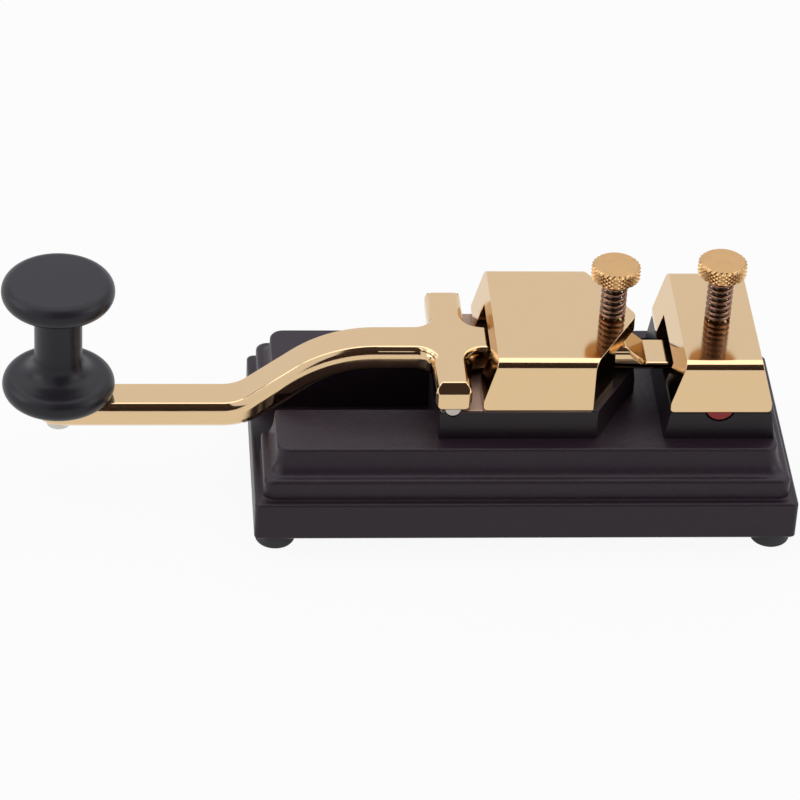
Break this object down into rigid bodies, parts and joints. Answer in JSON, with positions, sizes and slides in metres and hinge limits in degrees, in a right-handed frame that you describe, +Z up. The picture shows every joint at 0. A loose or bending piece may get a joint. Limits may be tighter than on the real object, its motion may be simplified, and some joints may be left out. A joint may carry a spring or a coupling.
{
  "type": "telegraph key",
  "caption": "Straight telegraph key with a humped gold lever on a crossbar pivot, spool knob, knurled adjusting screws and a moulded black base on rubber feet.",
  "frame": {"origin": "on the table, under the middle of the whole key from the knob to the right end of the base", "axes": "+X along the lever from the knob to the contact, +Y away from the front of the base, +Z up"},
  "size_m": [0.2045, 0.0668, 0.0685],
  "materials": {
    "base_paint": "fine rough black paint on cast iron",
    "foot_rubber": "matte black rubber",
    "plated_steel": "bright zinc plate",
    "pedestal_paint": "satin black",
    "pedestal_plastic": "satin black moulded insulator",
    "block_gold": "gold plated, finely brushed top and polished ends",
    "lever_gold": "gold plated and polished",
    "screw_steel": "blackened steel",
    "red_fibre": "red insulating fibre",
    "rod_steel": "ground and polished",
    "knob_plastic": "satin black",
    "contact_silver": "silver",
    "stop_nylon": "natural nylon",
    "thumb_gold": "gold plated, knurled",
    "spring_steel": "dark oiled spring wire",
    "socket_plastic": "black moulding"
  },
  "bodies": {
    "base": {"base": "base_paint", "feet": "foot_rubber", "foot_screws": "plated_steel", "pivot_pedestal": "pedestal_paint", "contact_pedestal": "pedestal_plastic", "pivot_block": "block_gold", "contact_block": "block_gold", "pivot_block_screws": "screw_steel", "contact_block_screws": "screw_steel", "insulating_bushes": "red_fibre", "red_bush": "red_fibre", "pivot_rod": "rod_steel", "rest_stop": "stop_nylon", "tension_lock_spring": "spring_steel", "gap_lock_spring": "spring_steel", "lead_socket": "socket_plastic", "socket_nut": "plated_steel"},
    "lever": {"lever": "lever_gold", "knob": "knob_plastic", "knob_screw": "plated_steel", "lever_contact": "contact_silver", "return_spring": "spring_steel"},
    "tension_slider": {"tension_washer": "thumb_gold"},
    "tension_screw": {"tension_screw": "thumb_gold"},
    "gap_slider": {"gap_washer": "thumb_gold"},
    "gap_screw": {"gap_screw": "thumb_gold", "screw_contact": "contact_silver"}
  },
  "joints": [
    {"name": "lever_rock", "type": "hinge", "parent": "base", "child": "lever", "pos_m": [0.0125, 0, 0.03725], "axis": [0, -1, 0], "range_deg": [0, 0.7], "stiffness_Nm_per_rad": 1, "springref_deg": -11.46},
    {"name": "tension_travel", "type": "slide", "parent": "base", "child": "tension_slider", "axis": [0, 0, 1], "range_m": [-0.0014, 0.0014], "deforming": ["tension_lock_spring", "return_spring"]},
    {"name": "tension_turn", "type": "hinge", "parent": "tension_slider", "child": "tension_screw", "pos_m": [0.0544, 0, 0.06], "axis": [0, 0, 1], "range_deg": [-725, 725]},
    {"name": "gap_travel", "type": "slide", "parent": "base", "child": "gap_slider", "axis": [0, 0, 1], "range_m": [0, 0.00105], "deforming": ["gap_lock_spring"]},
    {"name": "gap_turn", "type": "hinge", "parent": "gap_slider", "child": "gap_screw", "pos_m": [0.0818, 0, 0.06], "axis": [0, 0, 1], "range_deg": [0, 545]}
  ],
  "couplings": [
    {"joint": "tension_turn", "follows": "tension_travel", "rad_per_m": 8976},
    {"joint": "gap_turn", "follows": "gap_travel", "rad_per_m": 8976}
  ]
}
